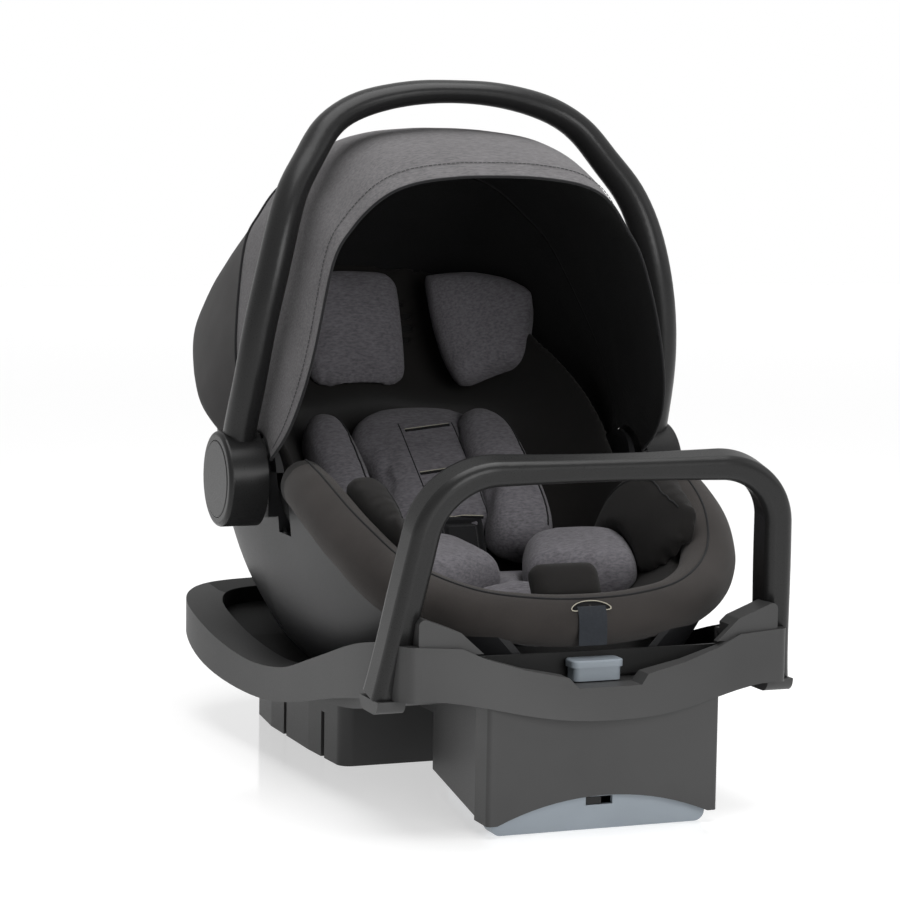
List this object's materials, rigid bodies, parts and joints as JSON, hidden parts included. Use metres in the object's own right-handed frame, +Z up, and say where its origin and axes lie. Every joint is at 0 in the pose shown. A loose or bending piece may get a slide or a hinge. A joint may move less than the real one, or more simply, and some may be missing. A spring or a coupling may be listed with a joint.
{
  "type": "infant car seat",
  "caption": "Rear-facing infant car seat on its base: padded carrier with swinging handle and folding canopy, latch release, recline foot and rebound bar.",
  "frame": {"origin": "on the floor plane, at the mid-plane, on the flat underside of the base's rear housing below the handle pivot's front side", "axes": "+X to the right seen from the foot end, +Y toward the head end, +Z up"},
  "size_m": [0.445, 0.7036, 0.613],
  "materials": {
    "shell_plastic": "moulded satin",
    "base_plastic": "moulded satin grain",
    "handle_plastic": "satin",
    "grey_plastic": "satin",
    "steel": "zinc plated",
    "foam": "foamed bead",
    "cover_fabric": "knit",
    "heather_fabric": "heather weave",
    "canopy_fabric": "heather weave",
    "canopy_dark": "plain weave",
    "webbing": "webbing",
    "buckle_plastic": "moulded",
    "red_plastic": "moulded"
  },
  "bodies": {
    "base": {"base_rim": "base_plastic", "base_body": "base_plastic", "base_plate": "base_plastic", "bar_front_cover": "base_plastic", "bar_rear_cover": "base_plastic", "bar_tube": "steel", "bar_socket_left": "base_plastic", "bar_socket_right": "base_plastic"},
    "release": {"release_button": "grey_plastic"},
    "latch": {"latch_shaft": "steel"},
    "foot": {"recline_foot": "grey_plastic"},
    "foot_tab": {"foot_latch": "buckle_plastic"},
    "carrier": {"carrier_shell": "shell_plastic", "latch_bar": "steel", "pivot_pin_left": "steel", "pivot_pin_right": "steel", "foam_liner": "foam", "seat_cover": "cover_fabric", "front_roll": "cover_fabric", "head_panel": "heather_fabric", "body_insert": "heather_fabric", "wing_left": "heather_fabric", "wing_right": "heather_fabric", "bolster_left": "heather_fabric", "bolster_right": "heather_fabric", "hip_left": "heather_fabric", "hip_right": "heather_fabric", "side_bolster_left": "cover_fabric", "side_bolster_right": "cover_fabric", "crotch_pad": "cover_fabric", "seat_pad": "heather_fabric", "harness_webbing": "webbing", "buckle": "buckle_plastic", "adjuster_strap": "webbing", "canopy_mid_bow": "steel", "canopy_rear": "canopy_dark"},
    "handle": {"handle": "handle_plastic"},
    "handle_cap_left": {"handle_button_left": "handle_plastic"},
    "handle_cap_right": {"handle_button_right": "handle_plastic"},
    "canopy_frame": {"canopy_front_bow": "steel", "canopy_front": "canopy_fabric"},
    "buckle_press": {"buckle_button": "red_plastic"}
  },
  "joints": [
    {"name": "carrier_lift", "type": "slide", "parent": "base", "child": "carrier", "axis": [0, 0, 1], "range_m": [0, 0.2]},
    {"name": "handle_swing", "type": "hinge", "parent": "carrier", "child": "handle", "pos_m": [0, 0.0505, 0.254], "axis": [1, 0, 0], "range_deg": [-30, 60]},
    {"name": "handle_cap_left_press", "type": "slide", "parent": "handle", "child": "handle_cap_left", "axis": [1, 0, 0], "range_m": [0, 0.004], "stiffness_N_per_m": 1500},
    {"name": "handle_cap_right_press", "type": "slide", "parent": "handle", "child": "handle_cap_right", "axis": [-1, 0, 0], "range_m": [0, 0.004], "stiffness_N_per_m": 1500},
    {"name": "canopy_fold", "type": "hinge", "parent": "carrier", "child": "canopy_frame", "pos_m": [0, 0.0505, 0.254], "axis": [-1, 0, 0], "range_deg": [0, 46], "deforming": ["canopy_front"]},
    {"name": "release_pull", "type": "slide", "parent": "base", "child": "release", "axis": [0, 0, 1], "range_m": [0, 0.008], "stiffness_N_per_m": 1200},
    {"name": "latch_turn", "type": "hinge", "parent": "base", "child": "latch", "pos_m": [0, -0.17, 0.064], "axis": [1, 0, 0], "range_deg": [0, 18]},
    {"name": "foot_slide", "type": "slide", "parent": "base", "child": "foot", "axis": [0, 0, -1], "range_m": [0, 0.03]},
    {"name": "foot_tab_press", "type": "slide", "parent": "foot", "child": "foot_tab", "axis": [1, 0, 0], "range_m": [0, 0.009]},
    {"name": "buckle_button_press", "type": "slide", "parent": "carrier", "child": "buckle_press", "axis": [0, 0.342, -0.9397], "range_m": [0, 0.0025], "stiffness_N_per_m": 1500}
  ],
  "couplings": [
    {"joint": "latch_turn", "follows": "release_pull", "rad_per_m": 39.27}
  ]
}
